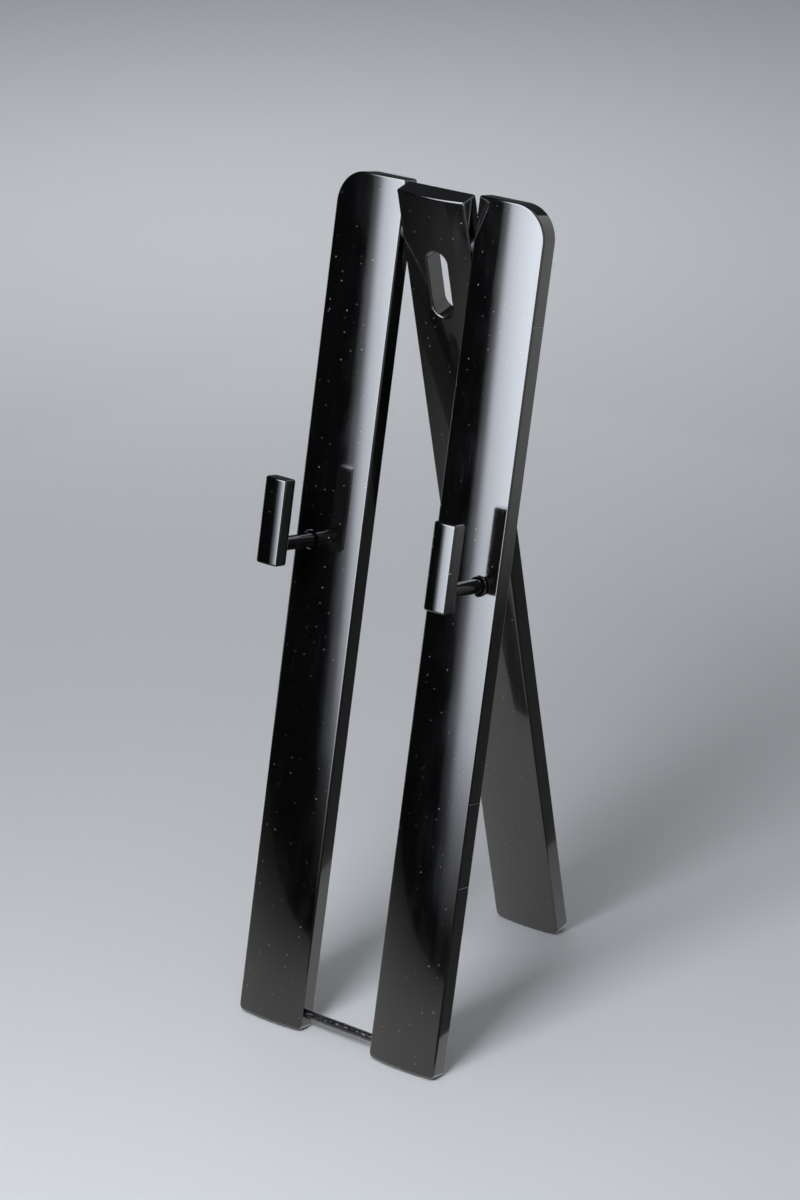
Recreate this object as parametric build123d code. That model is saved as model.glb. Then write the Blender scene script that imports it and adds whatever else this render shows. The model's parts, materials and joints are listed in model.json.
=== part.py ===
from build123d import *
from math import acos, asin, atan2, cos, degrees, hypot, radians, sin
import os

# Folding stand for a photo album: two crowned front slats side by side, a rear leg that folds between them about
# a hidden pin near the top, a thin rod that ties the slats together near the feet, and two pegs for the album.
# Millimetres. +Z is up, +X is to the right seen from the front, and the front faces -Y.
# The origin is on the floor, under the middle of the stand's bounding box.

# slats and leg
slat_width = 28.0
slat_length = 302.0
leg_width = 28.0
leg_shortening = 0.5  # how much shorter the leg is than the slats
edge_thickness = 6.6  # front to back along the two long edges
crown = 1.4  # how far the front face stands proud of those edges at its middle
top_outer_round = 12.0
top_inner_round = 1.0
leg_top_round = 0.8
foot_corner_round = 1.8
foot_back_round = 2.0
front_edge_round = 0.6
back_edge_round = 0.4

# hinge
hinge_from_top = 17.2  # the pin's axis, down from the top of the slats and of the leg
open_angle = 23.57  # between the slats and the leg as the stand is used
widest_angle = 60.0  # the widest useful opening
side_gap = 1.15  # between the leg and each slat
hinge_pin_diameter = 3.0
hinge_pin_grip = 12.0  # how deep the pin sits in each slat
washer_diameter = 6.0
washer_clearance = 0.05  # left between a washer and what it turns against
running_clearance = 0.04  # between a pin and the hole that turns on it, all round
glue_gap = 0.03  # between a fixed pin and its hole, all round

# hanging slot in the leg
slot_from_top = 20.4
slot_length = 24.5
slot_width = 8.4
slot_edge_round = 0.6

# cross rod
rod_diameter = 3.0
rod_height = 5.4  # its axis, up from the bottom of the slats
rod_grip = 9.0  # how deep the rod sits in each slat
rod_stop_clearance = 0.1  # left between the rod and the folded leg

# pegs
peg_height = 173.5  # the peg's axis, up from the bottom of the slats
peg_offset = 6.5  # the peg's axis, outward from the middle of its slat
peg_reach = 18.5  # from the slat's front face to the back of the plate: the room for the album
peg_pin_diameter = 5.0
peg_hole_depth = 5.4
peg_hole_bottom_gap = 0.2
peg_hole_rim_width = 0.7  # the countersunk rim stands out this far from the pin, all round
peg_hole_rim_depth = 0.6
plate_width = 9.1
plate_height = 30.2
plate_edge_thickness = 5.35
plate_crown = 0.55
plate_above_peg = 23.7  # how much of the plate's height is above the peg's axis
plate_corner_round = 0.8
plate_front_round = 0.7
plate_back_round = 0.3
plate_socket_depth = 3.2


def crown_height(across, width, rise):
    """How far a crowned face stands proud at a distance across from its middle."""
    radius = (width**2 / 4 + rise**2) / (2 * rise)
    return rise - radius + (radius**2 - across**2) ** 0.5


def crowned_section(width, thickness, rise):
    """Flat at the back, at y = thickness / 2, and bowed at the front."""
    half, front, back = width / 2, -thickness / 2, thickness / 2
    bow = ThreePointArc((-half, front), (0, front - rise), (half, front))
    sides = Polyline((half, front), (half, back), (-half, back), (-half, front))
    return make_face(bow + sides)


def crowned_bar(width, thickness, rise, low, high, corners, front_round, back_round):
    """A bar along Z from low to high. corners gives the radius at each corner of its face, by side and height."""
    bar = Pos(0, 0, low) * extrude(crowned_section(width, thickness, rise), high - low)
    for (side, height), radius in corners.items():
        corner = Vector(side * width / 2, 0, height)
        edges = bar.edges().filter_by(Axis.Y)
        bar = fillet(edges.sort_by(lambda edge: (edge.center() - corner).length)[0], radius)
    bar = fillet(bar.faces().sort_by(Axis.Y)[0].edges(), front_round)
    return fillet(bar.faces().sort_by(Axis.Y)[-1].edges(), back_round)


def round_foot(bar, width, low):
    """Rounds the back edge of the end that stands on the floor."""
    back = edge_thickness / 2
    corner = foot_back_round
    waste = Pos(0, back - corner / 2, low + corner / 2) * Box(width * 2, corner, corner)
    waste -= Pos(0, back - corner, low + corner) * pin_along_x(2 * corner, width * 2)
    return bar - waste


def pin_along_x(diameter, length):
    return Rot(0, 90, 0) * Cylinder(diameter / 2, length)


# Each slat and the leg are made upright about the hinge: its axis is the X axis, the middle of their edges is at
# y = 0, and z runs along them. The stand's halves are then turned about that axis to their own lean.
slat_top = hinge_from_top
slat_bottom = hinge_from_top - slat_length
leg_bottom = slat_bottom + leg_shortening
slat_gap = leg_width + 2 * side_gap
slat_middle = slat_gap / 2 + slat_width / 2
back_face_y = edge_thickness / 2
front_edge_y = -edge_thickness / 2

# The lean of the slats for which both halves reach the floor: the slats on the round of their back edge, the leg
# on the middle of its crowned front edge.
slat_reach = -slat_bottom - foot_back_round
slat_inset = back_face_y - foot_back_round
leg_reach = -leg_bottom - front_edge_round
leg_inset = crown - front_edge_y - front_edge_round
spread = radians(open_angle)
cosine_part = slat_reach - leg_reach * cos(spread) - leg_inset * sin(spread)
sine_part = slat_inset - leg_reach * sin(spread) + leg_inset * cos(spread)
difference = front_edge_round - foot_back_round
slat_lean = atan2(sine_part, cosine_part) + acos(difference / hypot(cosine_part, sine_part))
leg_lean = spread - slat_lean
hinge_height = slat_reach * cos(slat_lean) + slat_inset * sin(slat_lean) + foot_back_round

# The leg folds until its front face meets the cross rod.
rod_z = slat_bottom + rod_height
closed_angle = asin((crown - front_edge_y + rod_diameter / 2 + rod_stop_clearance) / -rod_z)

peg_z = slat_bottom + peg_height
peg_crown = crown_height(peg_offset, slat_width, crown)
peg_root_y = front_edge_y - peg_crown  # where the peg leaves the slat's front face
peg_tip_y = peg_root_y - peg_reach


def long_bar(width, bottom, top_corners):
    """What the slats and the leg have in common."""
    corners = top_corners | {(side, bottom): foot_corner_round for side in (-1, 1)}
    bar = crowned_bar(width, edge_thickness, crown, bottom, slat_top, corners, front_edge_round, back_edge_round)
    return round_foot(bar, width, bottom)


def slat(side):
    """side is -1 for the left slat and 1 for the right one."""
    corners = {(side, slat_top): top_outer_round, (-side, slat_top): top_inner_round}
    bar = long_bar(slat_width, slat_bottom, corners)
    inner_x = -side * slat_width / 2
    hinge_hole = Pos(inner_x, 0, 0) * pin_along_x(hinge_pin_diameter + 2 * glue_gap, 2 * hinge_pin_grip)
    rod_hole = Pos(inner_x, 0, rod_z) * pin_along_x(rod_diameter + 2 * glue_gap, 2 * rod_grip)
    return Pos(side * slat_middle, 0, 0) * (bar - hinge_hole - rod_hole - Pos(side * peg_offset, 0, 0) * peg_hole())


def peg_hole():
    """Blind hole square to the front face, with a countersunk rim."""
    outside = 2.0  # the cutter starts clear of the crowned face
    radius = peg_pin_diameter / 2 + running_clearance
    rim_radius = peg_pin_diameter / 2 + peg_hole_rim_width
    rim_slope = (rim_radius - radius) / peg_hole_rim_depth
    hole = Pos(0, peg_root_y + (peg_hole_depth - outside) / 2, peg_z) * Rot(90, 0, 0)
    hole *= Cylinder(radius, peg_hole_depth + outside)
    rim = Pos(0, peg_root_y + (peg_hole_rim_depth - outside) / 2, peg_z) * Rot(90, 0, 0)
    rim *= Cone(radius, rim_radius + rim_slope * outside, peg_hole_rim_depth + outside)
    return hole + rim


def rear_leg():
    corners = {(side, slat_top): leg_top_round for side in (-1, 1)}
    bar = long_bar(leg_width, leg_bottom, corners)
    slot_middle = hinge_from_top - slot_from_top - slot_length / 2
    slot_face = Plane.XZ * SlotOverall(slot_length, slot_width, rotation=90)
    bar -= Pos(0, 0, slot_middle) * extrude(slot_face, 2 * edge_thickness, both=True)
    rims = bar.edges().filter_by(lambda e: is_slot_rim(e, slot_middle))
    bar = fillet(rims, slot_edge_round)
    return bar - pin_along_x(hinge_pin_diameter + 2 * running_clearance, 2 * leg_width)


def is_slot_rim(edge, slot_middle):
    """True for the edges where the slot's wall meets the leg's front and back faces."""
    box = edge.bounding_box()
    inside = abs(box.max.X) < slot_width and abs(box.min.X) < slot_width
    near = abs(edge.center().Z - slot_middle) <= slot_length / 2
    through = box.size.Y > edge_thickness / 2
    return inside and near and not through


def peg_plate():
    """The upright plate on the end of a peg, about the peg's axis, with its back at y = 0."""
    low = plate_above_peg - plate_height
    corners = {(side, height): plate_corner_round for side in (-1, 1) for height in (low, plate_above_peg)}
    size = (plate_width, plate_edge_thickness, plate_crown, low, plate_above_peg)
    bar = Pos(0, -plate_edge_thickness / 2, 0) * crowned_bar(*size, corners, plate_front_round, plate_back_round)
    socket = Pos(0, -plate_socket_depth / 2, 0) * Rot(90, 0, 0)
    return bar - socket * Cylinder(peg_pin_diameter / 2 + glue_gap, plate_socket_depth)


def peg_pin():
    """The round pin of a peg, about its own axis, from the bottom of its socket in the plate into the slat."""
    into_slat = peg_hole_depth - peg_hole_bottom_gap
    length = plate_socket_depth + peg_reach + into_slat
    return Pos(0, length / 2 - plate_socket_depth, 0) * Rot(90, 0, 0) * Cylinder(peg_pin_diameter / 2, length)


def washer(side):
    thickness = side_gap - 2 * washer_clearance
    ring = Cylinder(washer_diameter / 2, thickness)
    ring -= Cylinder(hinge_pin_diameter / 2 + running_clearance, thickness)
    return Pos(side * (leg_width / 2 + side_gap / 2), 0, 0) * Rot(0, 90, 0) * ring


front_half = {
    "left_slat": slat(-1),
    "right_slat": slat(1),
    "hinge_pin": pin_along_x(hinge_pin_diameter, slat_gap + 2 * hinge_pin_grip),
    "left_hinge_washer": washer(-1),
    "right_hinge_washer": washer(1),
    "cross_rod": Pos(0, 0, rod_z) * pin_along_x(rod_diameter, slat_gap + 2 * rod_grip),
}
for name, side in (("left", -1), ("right", 1)):
    place = Pos(side * (slat_middle + peg_offset), peg_tip_y, peg_z)
    front_half[f"{name}_peg_pin"] = place * peg_pin()
    front_half[f"{name}_peg_plate"] = place * peg_plate()

pieces = {name: Rot(-degrees(slat_lean), 0, 0) * piece for name, piece in front_half.items()}
pieces["rear_leg"] = Rot(degrees(leg_lean), 0, 0) * rear_leg()

whole = Compound(children=[piece.solid() for piece in pieces.values()]).bounding_box()
to_floor = Pos(-whole.center().X, -whole.center().Y, hinge_height)

os.makedirs("parts", exist_ok=True)
for name, piece in pieces.items():
    pieces[name] = to_floor * piece
    export_step(pieces[name], f"parts/{name}.step")

hinge_y = -whole.center().Y
print("hinge at", round(hinge_y, 3), round(hinge_height, 3))
print("slats lean", round(degrees(slat_lean), 3), "leg leans", round(degrees(leg_lean), 3))
print("fold from", round(degrees(closed_angle) - open_angle, 3), "to", round(widest_angle - open_angle, 3))
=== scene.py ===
import bpy
import json
from math import atan2, cos, pi, radians, sin, sqrt
from mathutils import Matrix, Vector, noise


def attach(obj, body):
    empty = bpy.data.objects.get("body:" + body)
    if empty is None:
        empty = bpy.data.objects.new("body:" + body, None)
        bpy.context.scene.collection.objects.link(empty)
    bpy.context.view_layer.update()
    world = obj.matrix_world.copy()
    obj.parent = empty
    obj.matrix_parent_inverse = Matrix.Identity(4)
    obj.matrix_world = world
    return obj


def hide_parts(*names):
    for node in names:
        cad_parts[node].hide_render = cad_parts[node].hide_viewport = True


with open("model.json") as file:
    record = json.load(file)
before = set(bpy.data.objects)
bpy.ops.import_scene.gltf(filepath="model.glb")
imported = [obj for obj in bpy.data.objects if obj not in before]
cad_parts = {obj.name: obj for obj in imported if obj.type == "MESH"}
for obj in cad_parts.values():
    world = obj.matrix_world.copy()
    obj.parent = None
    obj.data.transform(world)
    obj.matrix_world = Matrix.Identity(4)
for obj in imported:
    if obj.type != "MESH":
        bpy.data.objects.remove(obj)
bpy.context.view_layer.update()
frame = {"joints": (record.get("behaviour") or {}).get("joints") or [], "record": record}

mm = 0.001
touching = 1e-6  # metres: points this close to a plane are on it

# A folding easel for a photo album. Each long piece is modelled upright with the hinge's axis on X through
# the origin, then leant over and lifted to the hinge, as the CAD nodes are.
joints = {joint["name"]: joint for joint in frame["joints"]}
mounts = {mount["name"]: mount for mount in frame["record"]["mounts"]}
hinge = Vector(joints["leg_fold"]["pos_m"])


def leanOf(mountName):
    back = Vector(mounts[mountName]["axis"])
    return atan2(back.z, back.y)


slatLean = leanOf("left_slat_back")
legLean = leanOf("leg_back")


def newCube(name, size, centre):
    bpy.ops.object.select_all(action="DESELECT")
    bpy.ops.mesh.primitive_cube_add(size=1, location=centre, scale=size)
    return named(name)


def newCylinder(name, radius, length, centre, axis, vertices=64):
    turn = {"X": (0, pi / 2, 0), "Y": (pi / 2, 0, 0)}[axis]
    bpy.ops.object.select_all(action="DESELECT")
    bpy.ops.mesh.primitive_cylinder_add(
        vertices=vertices, radius=radius, depth=length, location=centre, rotation=turn)
    return named(name)


def named(name):
    piece = bpy.context.object
    piece.name = piece.data.name = name
    bpy.ops.object.transform_apply(location=True, rotation=True, scale=True)
    return piece


def selectOnly(piece):
    bpy.ops.object.select_all(action="DESELECT")
    bpy.context.view_layer.objects.active = piece
    piece.select_set(True)


def startEdit(piece, mode="EDGE"):
    selectOnly(piece)
    bpy.ops.object.mode_set(mode="EDIT")
    bpy.ops.mesh.select_mode(type=mode)
    bpy.ops.mesh.select_all(action="DESELECT")


def endEdit():
    bpy.ops.object.mode_set(mode="OBJECT")


def pickFaces(piece, test):
    startEdit(piece, "FACE")
    endEdit()
    for face in piece.data.polygons:
        face.select = test(face.center, face.normal)
    bpy.ops.object.mode_set(mode="EDIT")


def pickEdges(piece, test):
    startEdit(piece, "EDGE")
    endEdit()
    points = piece.data.vertices
    for edge in piece.data.edges:
        edge.select = all(test(points[i].co) for i in edge.vertices)
    bpy.ops.object.mode_set(mode="EDIT")


def pickSharpEdges(piece, test):
    # only edges between faces at more than 60 degrees, with both ends passing the test
    startEdit(piece, "EDGE")
    bpy.ops.mesh.edges_select_sharp(sharpness=radians(60))
    endEdit()
    points = piece.data.vertices
    for edge in piece.data.edges:
        edge.select = edge.select and all(test(points[i].co) for i in edge.vertices)
    bpy.ops.object.mode_set(mode="EDIT")


def roundPicked(radius, segments):
    bpy.ops.mesh.bevel(offset=radius, segments=segments, profile=0.5, affect="EDGES", clamp_overlap=False)
    endEdit()


def sliceUp(piece, axis, places):
    # one cut straight through the piece at each place, so that it can be bent there
    normal = Vector((axis == "X", axis == "Y", axis == "Z"))
    startEdit(piece, "FACE")
    for place in places:
        bpy.ops.mesh.select_all(action="SELECT")
        bpy.ops.mesh.bisect(plane_co=normal * place, plane_no=normal)
    endEdit()


def steps(low, high, pitch):
    count = max(1, round((high - low) / pitch))
    return [low + (high - low) * i / count for i in range(1, count)]


def cut(piece, cutter, operation="DIFFERENCE"):
    boolean = piece.modifiers.new("cut", "BOOLEAN")
    boolean.object = cutter
    boolean.operation = operation
    boolean.solver = "EXACT"
    applyModifiers(piece)
    bpy.data.objects.remove(cutter)


def applyModifiers(piece):
    selectOnly(piece)
    for modifier in list(piece.modifiers):
        bpy.ops.object.modifier_apply(modifier=modifier.name)


def smoothOver(piece, sharpAngle=35):
    selectOnly(piece)
    bpy.ops.object.shade_smooth_by_angle(angle=radians(sharpAngle))
    weighted = piece.modifiers.new("even shading", "WEIGHTED_NORMAL")
    weighted.keep_sharp = True
    weighted.weight = 50
    applyModifiers(piece)


def paintNarrow(piece):
    # the narrow faces and the slot's wall look neither forwards nor back: they take the second material
    forwards = 0.6
    for face in piece.data.polygons:
        face.material_index = 1 if abs(face.normal.y) < forwards else 0


def leanOver(piece, lean):
    selectOnly(piece)
    piece.rotation_euler = (lean, 0, 0)
    piece.location = hinge
    bpy.ops.object.transform_apply(location=True, rotation=True, scale=True)


def archHeight(bar, across):
    # in mm: how far the bowed front stands out, at a distance across from the bar's middle
    half, rise = bar["width"] / 2, bar["crown"]
    radius = (half**2 + rise**2) / (2 * rise)
    return rise - radius + sqrt(radius**2 - across**2)


def crownedBar(name, bar, corners, slot=None):
    # bar: sizes in mm. corners: radius in mm for (side, end), side -1 or 1 and end "low" or "high".
    width, thick = bar["width"] * mm, bar["thickness"] * mm
    low, high = bar["low"] * mm, bar["high"] * mm
    front, back = -thick / 2, thick / 2
    piece = newCube(name, (width, thick, high - low), (0, 0, (low + high) / 2))
    for (side, end), radius in corners.items():
        cornerZ = high if end == "high" else low
        pickEdges(piece, lambda p: abs(p.x - side * width / 2) < touching and abs(p.z - cornerZ) < touching)
        roundPicked(radius * mm, max(6, round(radius * 2)))
    if slot:
        cut(piece, slotCutter(slot, thick))
        pickSharpEdges(piece, lambda p: abs(p.y - back) < touching and inSlot(p, slot))
        roundPicked(slot["rimRound"] * mm, slot["rimSegments"])
    pickSharpEdges(piece, lambda p: abs(p.y - front) < touching)
    roundPicked(bar["frontRim"] * mm, bar["frontSegments"])
    pickSharpEdges(piece, lambda p: abs(p.y - back) < touching)
    roundPicked(bar["backRim"] * mm, bar["backSegments"])
    # a thin ring inside the rim keeps the shading of the flat from reaching the round
    pickFaces(piece, lambda centre, normal: normal.y < -0.99)
    bpy.ops.mesh.inset(thickness=bar["ring"] * mm, use_boundary=True, use_even_offset=True)
    endEdit()
    sliceUp(piece, "X", steps(-width / 2, width / 2, bar["column"] * mm))
    sliceUp(piece, "Z", steps(low, high, bar["row"] * mm))
    bowFront(piece, bar, front + bar["frontRim"] * mm)
    return piece


def bowFront(piece, bar, limit):
    # each vertex of the front moves out by the height of a shallow arc over the bar's width
    for vertex in piece.data.vertices:
        if vertex.co.y < limit + touching:
            across = min(abs(vertex.co.x) / mm, bar["width"] / 2)
            vertex.co.y -= archHeight(bar, across) * mm


def inSlot(point, slot):
    top, length = slot["top"] * mm, slot["length"] * mm
    return abs(point.x) < slot["width"] * mm and top - length - touching < point.z < top + touching


def slotCutter(slot, thick):
    # a round cutter whose upper half is pulled up, as a router makes the slot
    radius, top, length = slot["width"] * mm / 2, slot["top"] * mm, slot["length"] * mm
    lowCentre = top - length + radius
    cutter = newCylinder("slotCutter", radius, thick * 3, (0, 0, lowCentre), "Y")
    startEdit(cutter, "VERT")
    endEdit()
    for vertex in cutter.data.vertices:
        vertex.select = vertex.co.z > lowCentre + touching
    bpy.ops.object.mode_set(mode="EDIT")
    bpy.ops.transform.translate(value=(0, 0, length - 2 * radius))
    endEdit()
    return cutter


def roundFoot(piece, bar):
    # the back edge of the foot is taken off in narrow flats that follow a quarter round
    radius = bar["footBackRound"] * mm
    centre = Vector((0, bar["thickness"] * mm / 2 - radius, bar["low"] * mm + radius))
    for i in range(bar["footCuts"]):
        angle = (i + 0.5) / bar["footCuts"] * pi / 2
        outward = Vector((0, cos(angle), -sin(angle)))
        startEdit(piece, "FACE")
        bpy.ops.mesh.select_all(action="SELECT")
        bpy.ops.mesh.bisect(
            plane_co=centre + outward * radius, plane_no=outward, use_fill=True, clear_outer=True)
        endEdit()


slatBar = {
    "width": 28.0, "thickness": 6.6, "crown": 1.4, "high": 17.2, "low": 17.2 - 302.0,
    "outerRound": 12.0, "innerRound": 1.0, "footRound": 1.8, "footBackRound": 2.0, "footCuts": 6,
    "frontRim": 0.6, "frontSegments": 4, "backRim": 0.4, "backSegments": 3, "ring": 0.3,
    "column": 1.0, "row": 10.0,
    "middle": 29.15, "rodUp": 5.4, "rodHole": 3.06, "rodGrip": 9.0, "hingeHole": 3.06, "hingeGrip": 12.0,
}
pegHole = {"hole": 5.08, "rim": 6.4, "rimDepth": 0.6, "depth": 5.4, "offset": 6.5, "outside": 2.0}
slatSurface = -slatBar["thickness"] / 2 - archHeight(slatBar, pegHole["offset"])  # the slat's face at the peg


def makeSlat(name, side):
    corners = {(side, "high"): slatBar["outerRound"], (-side, "high"): slatBar["innerRound"],
               (-1, "low"): slatBar["footRound"], (1, "low"): slatBar["footRound"]}
    slat = crownedBar(name, slatBar, corners)
    roundFoot(slat, slatBar)
    inner = -side * slatBar["width"] / 2
    rodZ = slatBar["low"] + slatBar["rodUp"]
    for diameter, grip, z in ((slatBar["rodHole"], slatBar["rodGrip"], rodZ),
                              (slatBar["hingeHole"], slatBar["hingeGrip"], 0)):
        cut(slat, newCylinder("drill", diameter * mm / 2, 2 * grip * mm, (inner * mm, 0, z * mm), "X"))
    cut(slat, pegDrill(side * pegHole["offset"], pegZ(side)))
    slat.data.transform(Matrix.Translation((side * slatBar["middle"] * mm, 0, 0)))
    smoothOver(slat)
    paintNarrow(slat)
    leanOver(slat, slatLean)
    return slat


def pegZ(side):
    # the peg's axis, along the slat from the hinge
    joint = joints["left_peg_turn" if side < 0 else "right_peg_turn"]
    toPeg = Vector(joint["pos_m"]) - hinge
    along = Vector((0, -sin(slatLean), cos(slatLean)))
    return toPeg.dot(along) / mm


def pegDrill(x, z):
    # a drill with a countersink on it; both start a little outside the slat's face
    outside = pegHole["outside"]
    place = (x * mm, (slatSurface + (pegHole["depth"] - outside) / 2) * mm, z * mm)
    drill = newCylinder("drill", pegHole["hole"] * mm / 2, (pegHole["depth"] + outside) * mm, place, "Y")
    slope = (pegHole["rim"] - pegHole["hole"]) / 2 / pegHole["rimDepth"]
    place = (x * mm, (slatSurface + (pegHole["rimDepth"] - outside) / 2) * mm, z * mm)
    bpy.ops.object.select_all(action="DESELECT")
    bpy.ops.mesh.primitive_cone_add(
        vertices=64, radius1=(pegHole["rim"] / 2 + slope * outside) * mm, radius2=pegHole["hole"] / 2 * mm,
        depth=(pegHole["rimDepth"] + outside) * mm, location=place, rotation=(-pi / 2, 0, 0))
    cut(drill, named("sink"), "UNION")
    return drill


legBar = dict(slatBar, low=17.2 - 301.5, topRound=0.8, hingeBore=3.08, drillLength=40.0)
legSlot = {"top": 17.2 - 20.4, "length": 24.5, "width": 8.4, "rimRound": 0.6, "rimSegments": 4}


def makeLeg():
    corners = {(-1, "high"): legBar["topRound"], (1, "high"): legBar["topRound"],
               (-1, "low"): legBar["footRound"], (1, "low"): legBar["footRound"]}
    leg = crownedBar("leg", legBar, corners, legSlot)
    roundFoot(leg, legBar)
    cut(leg, newCylinder("drill", legBar["hingeBore"] * mm / 2, legBar["drillLength"] * mm, (0, 0, 0), "X"))
    smoothOver(leg)
    paintNarrow(leg)
    leanOver(leg, legLean)
    return leg


plateBar = {
    "width": 9.1, "thickness": 5.35, "crown": 0.55, "high": 23.7, "low": 23.7 - 30.2, "corner": 0.8,
    "frontRim": 0.7, "frontSegments": 6, "backRim": 0.3, "backSegments": 3, "ring": 0.15,
    "column": 0.5, "row": 2.0,
    "reach": 18.5, "socket": 5.06, "socketDepth": 3.2,
}
pinX = slatBar["middle"] + pegHole["offset"]


def makePlate(name, side):
    corners = {(s, end): plateBar["corner"] for s in (-1, 1) for end in ("low", "high")}
    plate = crownedBar(name, plateBar, corners)
    backY = plateBar["thickness"] / 2
    socket = newCylinder(
        "drill", plateBar["socket"] * mm / 2, 2 * plateBar["socketDepth"] * mm, (0, backY * mm, 0), "Y")
    cut(plate, socket)
    tip = slatSurface - plateBar["reach"]
    place = (side * pinX * mm, (tip - backY) * mm, pegZ(side) * mm)
    plate.data.transform(Matrix.Translation(place))
    smoothOver(plate)
    paintNarrow(plate)
    leanOver(plate, slatLean)
    return plate


pinSize = {"diameter": 5.0, "intoSlat": 5.2, "endRound": 0.25, "endSegments": 3, "slice": 1.0}


def makePin(name, side):
    tip = slatSurface - plateBar["reach"] - plateBar["socketDepth"]
    end = slatSurface + pinSize["intoSlat"]
    place = (side * pinX * mm, (tip + end) / 2 * mm, pegZ(side) * mm)
    pin = newCylinder(name, pinSize["diameter"] * mm / 2, (end - tip) * mm, place, "Y")
    pickSharpEdges(pin, lambda p: True)
    roundPicked(pinSize["endRound"] * mm, pinSize["endSegments"])
    sliceUp(pin, "Y", steps(tip * mm, end * mm, pinSize["slice"] * mm))
    smoothOver(pin)
    leanOver(pin, slatLean)
    return pin


# the lacquer has built up in a ragged ring where each pin enters its slat, less on the left
ringSize = {
    "radius": 3.35, "across": 0.8, "height": 0.3, "raggedness": 0.25, "lump": 0.9, "swelling": 0.6,
    "around": 96, "section": 12, "seedStep": 10.0, "scale": {-1: 0.5, 1: 1.0},
}


def makeRing(name, side):
    scale = ringSize["scale"][side]
    bpy.ops.object.select_all(action="DESELECT")
    bpy.ops.mesh.primitive_torus_add(
        major_segments=ringSize["around"], minor_segments=ringSize["section"],
        major_radius=ringSize["radius"] * mm, minor_radius=ringSize["across"] / 2 * scale * mm,
        rotation=(pi / 2, 0, 0))
    ring = named(name)
    bpy.ops.object.mode_set(mode="EDIT")
    bpy.ops.mesh.select_all(action="SELECT")
    bpy.ops.transform.resize(value=(1, ringSize["height"] / ringSize["across"], 1))
    endEdit()
    for vertex in ring.data.vertices:
        # grows and shrinks away from the pin, never towards it
        lump = noise.noise(vertex.co / (ringSize["lump"] * mm) + Vector((side * ringSize["seedStep"], 0, 0)))
        outwards = Vector((vertex.co.x, 0, vertex.co.z)).normalized()
        vertex.co += outwards * max(0.0, lump) * ringSize["raggedness"] * scale * mm
        vertex.co.y *= 1 + lump * ringSize["swelling"]
    # the face under the ring slopes, because it is crowned
    further = -slatBar["thickness"] / 2 - archHeight(slatBar, 2 * pegHole["offset"])
    tilt = (slatSurface - further) / pegHole["offset"]
    for vertex in ring.data.vertices:
        vertex.co.y += side * tilt * vertex.co.x
    ring.data.transform(Matrix.Translation((side * pinX * mm, slatSurface * mm, pegZ(side) * mm)))
    smoothOver(ring, 60)
    leanOver(ring, slatLean)
    return ring


rodSize = {
    "diameter": 3.0, "length": 48.3, "vertices": 48, "endRound": 0.3, "endSegments": 3, "slice": 0.4,
    "lump": 1.3, "lumpHeight": 0.07,
}


def makeRod():
    z = slatBar["low"] + slatBar["rodUp"]
    length = rodSize["length"]
    rod = newCylinder(
        "crossRod", rodSize["diameter"] * mm / 2, length * mm, (0, 0, z * mm), "X", rodSize["vertices"])
    pickSharpEdges(rod, lambda p: True)
    roundPicked(rodSize["endRound"] * mm, rodSize["endSegments"])
    sliceUp(rod, "X", steps(-length / 2 * mm, length / 2 * mm, rodSize["slice"] * mm))
    # thick brushed paint between the slats: lumps, but none in the holes
    bare = length / 2 - slatBar["rodGrip"]
    for vertex in rod.data.vertices:
        if abs(vertex.co.x) < bare * mm:
            outwards = Vector((0, vertex.co.y, vertex.co.z - z * mm)).normalized()
            lump = noise.noise(vertex.co / (rodSize["lump"] * mm))
            vertex.co += outwards * lump * rodSize["lumpHeight"] * mm
    smoothOver(rod)
    leanOver(rod, slatLean)
    return rod


leftSlat = makeSlat("slatLeft", -1)
rightSlat = makeSlat("slatRight", 1)
print("slats", len(leftSlat.data.polygons), "faces each")
leg = makeLeg()
print("leg", len(leg.data.polygons), "faces")
sideWords = {-1: "Left", 1: "Right"}
plates = {side: makePlate(f"plate{word}", side) for side, word in sideWords.items()}
pins = {side: makePin(f"pin{word}", side) for side, word in sideWords.items()}
rings = {side: makeRing(f"pinRing{word}", side) for side, word in sideWords.items()}
rod = makeRod()
print("pegs, rings and rod")

for piece, body, node, slotName in (
    (leftSlat, "front_frame", "left_slat", "slat_lacquer"),
    (rightSlat, "front_frame", "right_slat", "slat_lacquer"),
    (leg, "rear_leg", "rear_leg", "slat_lacquer"),
    (plates[-1], "left_peg", "left_peg_plate", "plate_lacquer"),
    (plates[1], "right_peg", "right_peg_plate", "plate_lacquer"),
    (pins[-1], "left_peg", "left_peg_pin", "pin_enamel"),
    (pins[1], "right_peg", "right_peg_pin", "pin_enamel"),
    (rod, "front_frame", "cross_rod", "rod_enamel"),
):
    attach(piece, body)
    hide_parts(node)
for ring in rings.values():
    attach(ring, "front_frame")


def linear(hexColour):
    values = [int(hexColour[i:i + 2], 16) / 255 for i in (1, 3, 5)]
    return [v / 12.92 if v <= 0.04045 else ((v + 0.055) / 1.055) ** 2.4 for v in values] + [1.0]


def addNode(tree, kind, inputs=(), **settings):
    node = tree.nodes.new(kind)
    for key, value in settings.items():
        setattr(node, key, value)
    connect(tree, node, inputs)
    return node


def connect(tree, node, inputs):
    # inputs: in the order of the sockets, or by name or number. Each is a fixed value, an output, or a node,
    # which stands for its first output.
    for key, value in inputs.items() if isinstance(inputs, dict) else enumerate(inputs):
        if isinstance(value, bpy.types.Node):
            value = value.outputs[0]
        if isinstance(value, bpy.types.NodeSocket):
            tree.links.new(value, node.inputs[key])
        else:
            node.inputs[key].default_value = value


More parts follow.
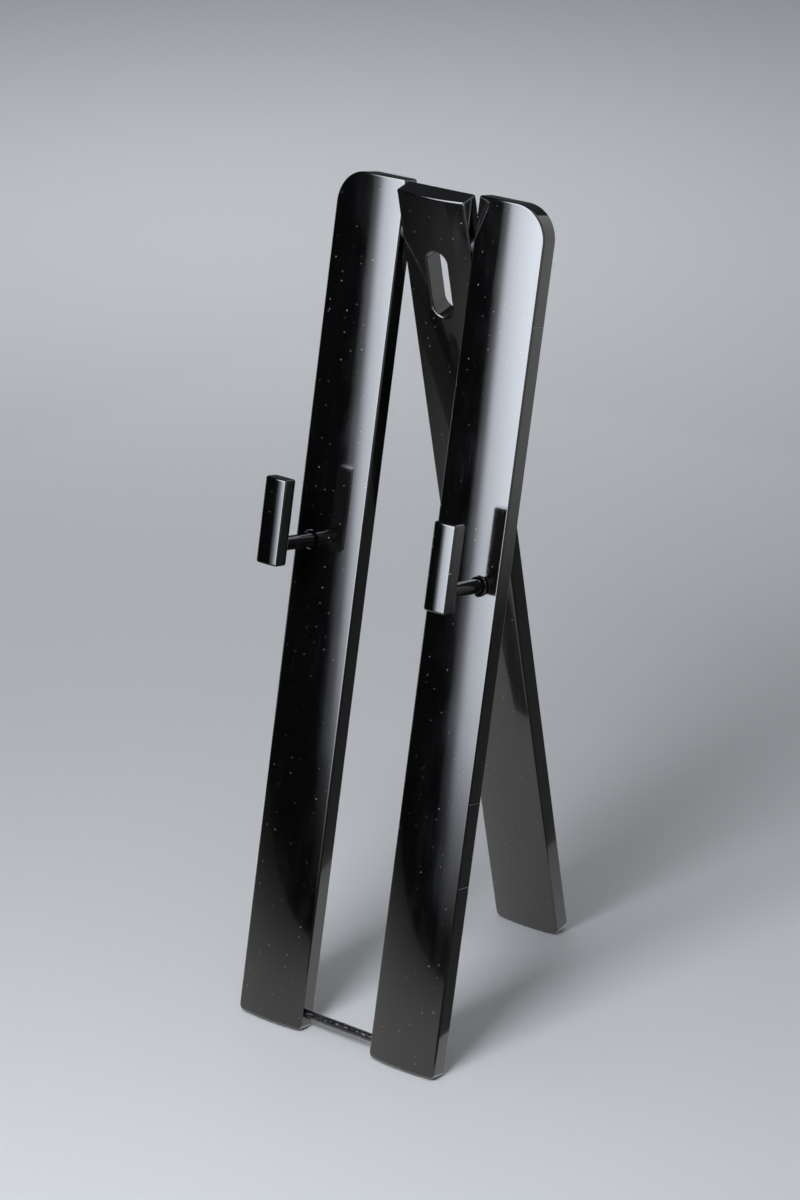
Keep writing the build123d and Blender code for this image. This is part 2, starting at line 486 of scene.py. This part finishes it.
def newMaterial(name, colour, roughness, ior=1.5, metallic=0.0):
    material = bpy.data.materials.new(name)
    material.use_nodes = True
    shader = material.node_tree.nodes["Principled BSDF"]
    shader.inputs["Base Color"].default_value = linear(colour)
    shader.inputs["Roughness"].default_value = roughness
    shader.inputs["IOR"].default_value = ior
    shader.inputs["Metallic"].default_value = metallic
    return material, material.node_tree, shader


def patternPlace(tree, lean, size):
    # object coordinates turned upright with the piece and divided by a size in mm along x, y and z
    coords = addNode(tree, "ShaderNodeTexCoord")
    turned = {"Vector": coords.outputs["Object"], "Location": hinge, "Rotation": (lean, 0, 0),
              "Scale": [length * mm for length in size]}
    return addNode(tree, "ShaderNodeMapping", turned, vector_type="TEXTURE")


usualNoise = (0.3, 0.7)  # nearly all of a noise lies between these


def unevenness(tree, lean, size, detail):
    # soft random values whose lumps have a size in mm along x, y and z
    pattern = {"Vector": patternPlace(tree, lean, size), "Scale": 1.0, "Detail": detail}
    return addNode(tree, "ShaderNodeTexNoise", pattern)


def facePlace(tree, lean, size):
    # the pattern's place on a front face: across and up, with no depth
    place = addNode(tree, "ShaderNodeSeparateXYZ", (patternPlace(tree, lean, size),))
    return addNode(tree, "ShaderNodeCombineXYZ", (place.outputs["X"], place.outputs["Z"]))


def dustMask(tree, lean, look):
    # one speck to a cell of so many mm, of a size that differs from cell to cell, and many cells left clean
    cell = look["dustCell"]
    pattern = {"Vector": facePlace(tree, lean, (cell, cell, cell)), "Scale": 1.0}
    cells = addNode(tree, "ShaderNodeTexVoronoi", pattern, voronoi_dimensions="2D")
    luck = addNode(tree, "ShaderNodeSeparateColor", (cells.outputs["Color"],))
    cleanShare = 0.6
    reach = addNode(tree, "ShaderNodeMapRange", (luck, cleanShare, 1.0, 0.0, look["speck"] / cell))
    return addNode(tree, "ShaderNodeMath", (cells, reach), operation="LESS_THAN")


def hairlines(tree, lean, look):
    # thin crooked scratches: the borders of long uneven cells, broken up by a coarse noise
    size = look["hairCell"]
    place = facePlace(tree, lean, size)
    pattern = {"Vector": place, "Scale": 1.0, "Randomness": 1.0}
    cells = addNode(
        tree, "ShaderNodeTexVoronoi", pattern, voronoi_dimensions="2D", feature="DISTANCE_TO_EDGE")
    line = addNode(tree, "ShaderNodeMath", (cells, look["hairWidth"] / size[0]), operation="LESS_THAN")
    broken = addNode(tree, "ShaderNodeTexNoise", {"Vector": place, "Scale": 2.0})
    kept = addNode(tree, "ShaderNodeMath", (broken, look["hairBroken"]), operation="GREATER_THAN")
    return addNode(tree, "ShaderNodeMath", (line, kept), operation="MULTIPLY")


def scratchMask(tree, lean, scratch):
    # part of a thin circle: where the distance from its middle is the radius, between two heights
    place = facePlace(tree, lean, (1, 1, 1))
    away = addNode(tree, "ShaderNodeVectorMath", (place, scratch["centre"]), operation="DISTANCE")
    onCircle = (away.outputs["Value"], scratch["radius"], scratch["width"] / 2)
    line = addNode(tree, "ShaderNodeMath", onCircle, operation="COMPARE")
    height = addNode(tree, "ShaderNodeSeparateXYZ", (place,)).outputs["Y"]
    between = (height, scratch["middle"], scratch["span"] / 2)
    part = addNode(tree, "ShaderNodeMath", between, operation="COMPARE")
    return addNode(tree, "ShaderNodeMath", (line, part), operation="MULTIPLY")


# Black lacquer sprayed over the bars, sanded along their length and polished to a gloss: a mirror with fine
# lengthwise lines, faint orange peel, dull hazy patches and dust on it. Lines, dust and hairlines are drawn
# somewhat coarser than real ones, so that they show.
polish = {
    "colour": "#070708", "dust": "#8a877f", "coatRoughness": 0.05, "peel": 2.5, "peelHeight": 0.0006,
    "line": (0.55, 0.55, 60.0), "lineHeight": 0.0015, "lineHaze": 0.5, "haze": (7.0, 7.0, 22.0),
    "hazeFrom": 0.55, "hazeTo": 1.0, "dustCell": 4.0, "speck": 0.2, "dustRoughness": 0.6,
    "hairCell": (7.0, 7.0, 3000.0), "hairWidth": 0.09, "hairDepth": 0.0012, "hairBroken": 0.55,
}


def polishedLacquer(name, lean, haze=(0.06, 0.20), scratch=None):
    material, tree, shader = newMaterial(name, polish["colour"], haze[0])
    lines = unevenness(tree, lean, polish["line"], 4.0)
    peel = unevenness(tree, lean, (polish["peel"],) * 3, 2.0)
    hazy = unevenness(tree, lean, polish["haze"], 5.0)
    dust = dustMask(tree, lean, polish)
    scratches = hairlines(tree, lean, polish)
    dull = addNode(tree, "ShaderNodeMath", (lines, polish["lineHaze"], hazy), operation="MULTIPLY_ADD")
    dull = addNode(tree, "ShaderNodeMapRange", (dull, polish["hazeFrom"], polish["hazeTo"], *haze))
    dusty = addNode(tree, "ShaderNodeMath", (dust, polish["dustRoughness"], dull), operation="MULTIPLY_ADD")
    shades = {"Factor": dust, 6: linear(polish["colour"]), 7: linear(polish["dust"])}
    colour = addNode(tree, "ShaderNodeMix", shades, data_type="RGBA")
    height = addNode(tree, "ShaderNodeMath", (peel, polish["peelHeight"] * mm), operation="MULTIPLY")
    marks = [(lines, polish["lineHeight"]), (scratches, -polish["hairDepth"])]
    if scratch:
        marks.append((scratchMask(tree, lean, scratch), -scratch["depth"]))
    for mark, rise in marks:
        height = addNode(tree, "ShaderNodeMath", (mark, rise * mm, height), operation="MULTIPLY_ADD")
    bump = addNode(tree, "ShaderNodeBump", {"Height": height, "Distance": 1.0})
    connect(tree, shader, {
        "Base Color": colour.outputs[2], "Roughness": dusty, "Normal": bump, "Coat Normal": bump,
        "Coat Weight": 1.0, "Coat Roughness": polish["coatRoughness"],
    })
    return material


# The same lacquer on the narrow faces and in the slot, left as sprayed: satin, a little brown, with sanding
# lines.
satin = {
    "colour": "#080808", "worn": "#302d2a", "wornFrom": 0.42, "wornTo": 0.64, "line": (0.5, 0.5, 25.0),
    "lineHeight": 0.006, "grain": 0.6, "usual": (0.35, 0.65), "roughness": (0.22, 0.42),
}


def satinLacquer(name, lean):
    material, tree, shader = newMaterial(name, satin["colour"], satin["roughness"][0])
    lines = unevenness(tree, lean, satin["line"], 4.0)
    grain = unevenness(tree, lean, (satin["grain"],) * 3, 2.0)
    both = addNode(tree, "ShaderNodeMath", (lines, grain), operation="ADD")
    both = addNode(tree, "ShaderNodeMath", (both, 0.5), operation="MULTIPLY")
    roughness = addNode(tree, "ShaderNodeMapRange", (both, *satin["usual"], *satin["roughness"]))
    worn = addNode(tree, "ShaderNodeMapRange", (both, satin["wornFrom"], satin["wornTo"], 0.0, 1.0))
    shades = {"Factor": worn, 6: linear(satin["colour"]), 7: linear(satin["worn"])}
    colour = addNode(tree, "ShaderNodeMix", shades, data_type="RGBA")
    height = addNode(tree, "ShaderNodeMath", (both, satin["lineHeight"] * mm), operation="MULTIPLY")
    bump = addNode(tree, "ShaderNodeBump", {"Height": height, "Distance": 1.0})
    connect(tree, shader, {"Base Color": colour.outputs[2], "Roughness": roughness, "Normal": bump})
    return material


# Gloss black enamel, brushed on and left to run: soft lumps, and dust caught in it. Lumps and specks in mm.
enamel = {
    "colour": "#08080a", "dust": "#77746e", "dustCell": 2.5, "speck": 0.2, "coat": 0.6, "coatRoughness": 0.06,
    "smoothest": 0.6, "roughest": 1.6,
    "pin": {"lump": (2.0, 3.5, 2.0), "lumpHeight": 0.02, "roughness": 0.12},
    "rod": {"lump": (1.6, 0.9, 0.9), "lumpHeight": 0.01, "roughness": 0.25},
}


def glossEnamel(name, lean, coat):
    roughness = coat["roughness"]
    material, tree, shader = newMaterial(name, enamel["colour"], roughness, ior=1.52)
    lumps = unevenness(tree, lean, coat["lump"], 2.0)
    dust = dustMask(tree, lean, enamel)
    reach = (lumps, *usualNoise, roughness * enamel["smoothest"], roughness * enamel["roughest"])
    uneven = addNode(tree, "ShaderNodeMapRange", reach)
    shades = {"Factor": dust, 6: linear(enamel["colour"]), 7: linear(enamel["dust"])}
    colour = addNode(tree, "ShaderNodeMix", shades, data_type="RGBA")
    height = addNode(tree, "ShaderNodeMath", (lumps, coat["lumpHeight"] * mm), operation="MULTIPLY")
    bump = addNode(tree, "ShaderNodeBump", {"Height": height, "Distance": 1.0})
    connect(tree, shader, {
        "Base Color": colour.outputs[2], "Roughness": uneven, "Normal": bump,
        "Coat Weight": enamel["coat"], "Coat Roughness": enamel["coatRoughness"],
    })
    return material


# Steel wire, bright drawn: fine lines along it. The default IOR is kept, as for any metal here.
steel = {
    "colour": "#b4b2ad", "dark": "#8f8c86", "light": "#d2d0cb", "line": (20.0, 0.15, 0.15),
    "roughness": (0.16, 0.38),
}


def drawnSteel():
    smoothest = steel["roughness"][0]
    material, tree, shader = newMaterial("drawnSteelWire", steel["colour"], smoothest, metallic=1.0)
    lines = unevenness(tree, slatLean, steel["line"], 3.0)
    roughness = addNode(tree, "ShaderNodeMapRange", (lines, *usualNoise, *steel["roughness"]))
    shades = {"Factor": lines, 6: linear(steel["dark"]), 7: linear(steel["light"])}
    colour = addNode(tree, "ShaderNodeMix", shades, data_type="RGBA")
    connect(tree, shader, {"Base Color": colour.outputs[2], "Roughness": roughness})
    return material


# Black nylon, stamped from sheet: a little uneven, satin.
nylon = {
    "colour": "#17171a", "dark": "#101012", "light": "#1e1e21", "cloud": 0.8, "roughness": (0.34, 0.5),
}


def stampedNylon():
    smoothest = nylon["roughness"][0]
    material, tree, shader = newMaterial("stampedNylonSheet", nylon["colour"], smoothest, ior=1.53)
    cloud = unevenness(tree, slatLean, (nylon["cloud"],) * 3, 3.0)
    roughness = addNode(tree, "ShaderNodeMapRange", (cloud, *usualNoise, *nylon["roughness"]))
    shades = {"Factor": cloud, 6: linear(nylon["dark"]), 7: linear(nylon["light"])}
    colour = addNode(tree, "ShaderNodeMix", shades, data_type="RGBA")
    connect(tree, shader, {"Base Color": colour.outputs[2], "Roughness": roughness})
    return material


def finish(piece, *materials):
    # where there is a second material, it goes on the narrow faces
    piece.data.materials.clear()
    for material in materials:
        piece.data.materials.append(material)


# one long curved scratch, near the top of the right slat's inner edge
arcScratch = {
    "centre": (59.4, -3.1, 0.0), "radius": 44.3, "width": 0.15, "middle": 7.5, "span": 15.0, "depth": 0.01,
}
slatSatin = satinLacquer("sprayedBlackLacquer", slatLean)
finish(leftSlat, polishedLacquer("polishedBlackLacquer", slatLean), slatSatin)
finish(rightSlat, polishedLacquer("scratchedBlackLacquer", slatLean, scratch=arcScratch), slatSatin)
legLacquer = polishedLacquer("polishedBlackLacquerLeg", legLean, haze=(0.08, 0.24))
finish(leg, legLacquer, satinLacquer("sprayedBlackLacquerLeg", legLean))
plateLacquer = polishedLacquer("fingeredBlackLacquer", slatLean, haze=(0.06, 0.16))
pinEnamel = glossEnamel("brushedBlackEnamel", slatLean, enamel["pin"])
rodEnamel = glossEnamel("lumpyBlackEnamel", slatLean, enamel["rod"])
for side in sideWords:
    finish(plates[side], plateLacquer, slatSatin)
    finish(pins[side], pinEnamel)
    finish(rings[side], rodEnamel)
finish(rod, rodEnamel)
wire = drawnSteel()
washer = stampedNylon()
hidden = {"hinge_pin": wire, "left_hinge_washer": washer, "right_hinge_washer": washer}
for nodeName, material in hidden.items():
    materialSlot = bpy.data.objects[nodeName].material_slots[0]
    materialSlot.link = "OBJECT"
    materialSlot.material = material
print("materials")

studio = {
    "floorSize": 14, "floor": "#ccd0d5", "floorRoughness": 0.9, "world": "#c9cdd2", "worldStrength": 0.08,
}
bpy.ops.object.select_all(action="DESELECT")
bpy.ops.mesh.primitive_plane_add(size=studio["floorSize"], location=(0, 0, 0))
floor = named("floor")
paper = newMaterial("matPaper", studio["floor"], studio["floorRoughness"])[0]
floor.data.materials.append(paper)

world = bpy.data.worlds.new("studio")
bpy.context.scene.world = world
world.use_nodes = True
background = world.node_tree.nodes["Background"]
background.inputs["Color"].default_value = linear(studio["world"])
background.inputs["Strength"].default_value = studio["worldStrength"]


def paintedReflectionSheet(name, size, place=Matrix()):
    # an upright glowing sheet that only the gloss sees, so it paints a reflection; place then moves or lays
    # it
    left, right, low, high = size["left"], size["right"], size["low"], size["high"]
    bpy.ops.object.select_all(action="DESELECT")
    bpy.ops.mesh.primitive_plane_add(
        size=1, location=((left + right) / 2, size["y"], (low + high) / 2), rotation=(pi / 2, 0, 0),
        scale=(right - left, high - low, 1))
    sheet = named(name)
    sheet.data.transform(place)
    sheet.visible_camera = sheet.visible_shadow = sheet.visible_diffuse = False
    return sheet


def paintedReflectionGlow(name, sheet):
    # a material that glows only to paint a reflection, whose emission is still to be set
    material = bpy.data.materials.new(name)
    material.use_nodes = True
    tree = material.node_tree
    tree.nodes.remove(tree.nodes["Principled BSDF"])
    emission = addNode(tree, "ShaderNodeEmission")
    tree.links.new(emission.outputs[0], tree.nodes["Material Output"].inputs["Surface"])
    sheet.data.materials.append(material)
    return tree, emission, addNode(tree, "ShaderNodeTexCoord").outputs["Object"]


def setStops(ramp, stops):
    # stops: (place from 0 to 1, grey there)
    elements = ramp.color_ramp.elements
    while len(elements) < len(stops):
        elements.new(0.5)
    for element, (place, grey) in zip(elements, stops):
        element.position = place
        element.color = (grey, grey, grey, 1)


# A painted highlight: a tall sheet close in front of the stand glows only in the gloss, painting the bright
# bands on the lacquer, brighter to the right and towards its top, with a slanted left edge. Metres, and its
# stops run over edgeRange across and over fullHeight upwards.
diffuser = {
    "left": -0.27, "right": 0.13, "low": 0.02, "high": 0.55, "y": -0.35,
    "radiance": 11.3, "colour": "#e6ecf6",
    "edgeAtFloor": -0.056, "edgeSlope": -0.47, "edgeStart": -0.06, "edgeRange": 0.25, "fullHeight": 0.35,
    "acrossStops": ((0, 0), (0.18, 0.12), (0.24, 0.30), (0.30, 0.50), (0.36, 0.63), (0.48, 0.74), (0.84, 1)),
    "upwardStops": ((0.05, 0), (0.143, 0.12), (0.215, 0.32), (0.285, 0.62), (0.357, 0.73), (0.43, 0.78),
                    (0.57, 0.88), (0.86, 1)),
}
paintedHighlightSheet = paintedReflectionSheet("diffuser", diffuser)
tree, emission, coords = paintedReflectionGlow("paintedHighlightRadiance", paintedHighlightSheet)
xyz = addNode(tree, "ShaderNodeSeparateXYZ", (coords,))
slanted = (xyz.outputs["Z"], diffuser["edgeSlope"], diffuser["edgeAtFloor"])
edge = addNode(tree, "ShaderNodeMath", slanted, operation="MULTIPLY_ADD")
inside = addNode(tree, "ShaderNodeMath", (xyz.outputs["X"], edge), operation="SUBTRACT")
edgeEnd = diffuser["edgeStart"] + diffuser["edgeRange"]
share = addNode(tree, "ShaderNodeMapRange", (inside, diffuser["edgeStart"], edgeEnd))
across = addNode(tree, "ShaderNodeValToRGB", (share,))
setStops(across, diffuser["acrossStops"])
share = addNode(tree, "ShaderNodeMapRange", (xyz.outputs["Z"], 0.0, diffuser["fullHeight"]))
upward = addNode(tree, "ShaderNodeValToRGB", (share,))
setStops(upward, diffuser["upwardStops"])
both = addNode(tree, "ShaderNodeMath", (across, upward), operation="MULTIPLY")
strength = addNode(tree, "ShaderNodeMath", (both, diffuser["radiance"]), operation="MULTIPLY")
connect(tree, emission, {"Color": linear(diffuser["colour"]), "Strength": strength})


def fadingPaintedReflection(name, sheet, look):
    # a painted reflection whose radiance goes by height, or by distance from a middle, up to so many metres
    tree, emission, coords = paintedReflectionGlow(name, sheet)
    if "middle" in look:
        away = addNode(tree, "ShaderNodeVectorMath", (coords, look["middle"]), operation="DISTANCE")
        reach = away.outputs["Value"]
    else:
        reach = addNode(tree, "ShaderNodeSeparateXYZ", (coords,)).outputs["Z"]
    share = addNode(tree, "ShaderNodeMapRange", (reach, 0.0, look["upTo"]))
    fade = addNode(tree, "ShaderNodeValToRGB", (share,))
    setStops(fade, look["stops"])
    connect(tree, emission, {"Strength": fade})


# Painted dark reflection: a sheet behind the highlight sheet that glows faintly, only in the gloss, darkest
# towards its top.
blackCloth = {
    "left": -1.6, "right": 0.13, "low": 0.0, "high": 1.4, "y": -0.36,
    "upTo": 0.3, "stops": ((0, 0.10), (0.25, 0.03), (0.6, 0.005)),
}
paintedDarkSheet = paintedReflectionSheet("blackCloth", blackCloth)
fadingPaintedReflection("blackVelvet", paintedDarkSheet, blackCloth)

# Painted reflection on the right slat's narrow face: a sheet close beside the right slat that glows only in
# the gloss, dark low down and pale higher up.
sideCard = {
    "left": -0.08, "right": 0.08, "low": 0.0, "high": 0.34, "y": 0, "x": 0.06,
    "upTo": 0.34, "stops": ((0, 0.10), (0.44, 0.07), (0.58, 0.45), (0.8, 0.6), (1, 0.7)),
}
beside = Matrix.Translation((sideCard["x"], 0, 0)) @ Matrix.Rotation(pi / 2, 4, "Z")
paintedSideSheet = paintedReflectionSheet("sideCard", sideCard, beside)
fadingPaintedReflection("paintedSideReflectionRadiance", paintedSideSheet, sideCard)

# Two sheets laid on the floor that glow only in the gloss, low and high being their y: a painted reflection
# of the lit floor in front, which darkens with distance, and a painted shadow between the slats' feet and the
# leg's.
frontCloth = {
    "left": -0.6, "right": 0.45, "low": -0.5, "high": -0.06, "y": 0, "lift": 0.0005,
    "middle": (0.05, -0.10, 0), "upTo": 0.5,
    "stops": ((0.1, 0.66), (0.3, 0.52), (0.4, 0.40), (0.6, 0.2), (0.8, 0.08), (1, 0.03)),
}
shadeCloth = {
    "left": -0.16, "right": 0.14, "low": -0.056, "high": 0.16, "y": 0, "lift": 0.0004,
    "middle": (0.0, 0.05, 0), "upTo": 0.18, "stops": ((0, 0.10), (0.5, 0.16), (0.8, 0.30), (1, 0.45)),
}
paintedFloorSheets = []
for name, paintedSheetLook in (("frontCloth", frontCloth), ("shadeCloth", shadeCloth)):
    laid = Matrix.Translation((0, 0, paintedSheetLook["lift"])) @ Matrix.Rotation(-pi / 2, 4, "X")
    paintedFloorSheets.append(paintedReflectionSheet(name, paintedSheetLook, laid))
    fadingPaintedReflection(name + "Velvet", paintedFloorSheets[-1], paintedSheetLook)


def addSoftbox(name, box):
    light = bpy.data.lights.new(name, "AREA")
    light.shape = "RECTANGLE"
    light.size = light.size_y = box["side"]
    light.energy = box["watts"]
    lamp = bpy.data.objects.new(name, light)
    bpy.context.scene.collection.objects.link(lamp)
    lamp.location = box["centre"]
    lamp.rotation_euler = (Vector(box["aim"]) - Vector(box["centre"])).to_track_quat("-Z", "Y").to_euler()
    lamp.visible_camera = False
    lamp.visible_glossy = box["inGloss"]


addSoftbox("frontKey", {
    "centre": (0.05, -0.50, 0.57), "aim": (0.04, 0.1, 0.0), "side": 0.26, "watts": 3.9, "inGloss": False})
addSoftbox("ceiling", {
    "centre": (-0.2, 0.3, 2.2), "aim": (-0.2, 0.3, 0), "side": 2.6, "watts": 16, "inGloss": False})
addSoftbox("backdropLight", {
    "centre": (-0.68, 0.66, 0.75), "aim": (-0.9, 1.05, 0), "side": 0.5, "watts": 3.7, "inGloss": True})
print("studio")

view = {
    "azimuth": 37.236, "elevation": 22.089, "distance": 1.29655, "lens": 112.461, "sensor": 36,
    "aim": (-0.00836, -0.01147, 0.15047),
}
cameraData = bpy.data.cameras.new("camera")
camera = bpy.data.objects.new("camera", cameraData)
bpy.context.scene.collection.objects.link(camera)
azimuth, elevation = radians(view["azimuth"]), radians(view["elevation"])
toCamera = Vector((sin(azimuth) * cos(elevation), -cos(azimuth) * cos(elevation), sin(elevation)))
camera.location = Vector(view["aim"]) + toCamera * view["distance"]
camera.rotation_euler = (-toCamera).to_track_quat("-Z", "Y").to_euler()
cameraData.lens = view["lens"]
cameraData.sensor_width = view["sensor"]
bpy.context.scene.camera = camera
bpy.context.scene.view_settings.view_transform = "Standard"
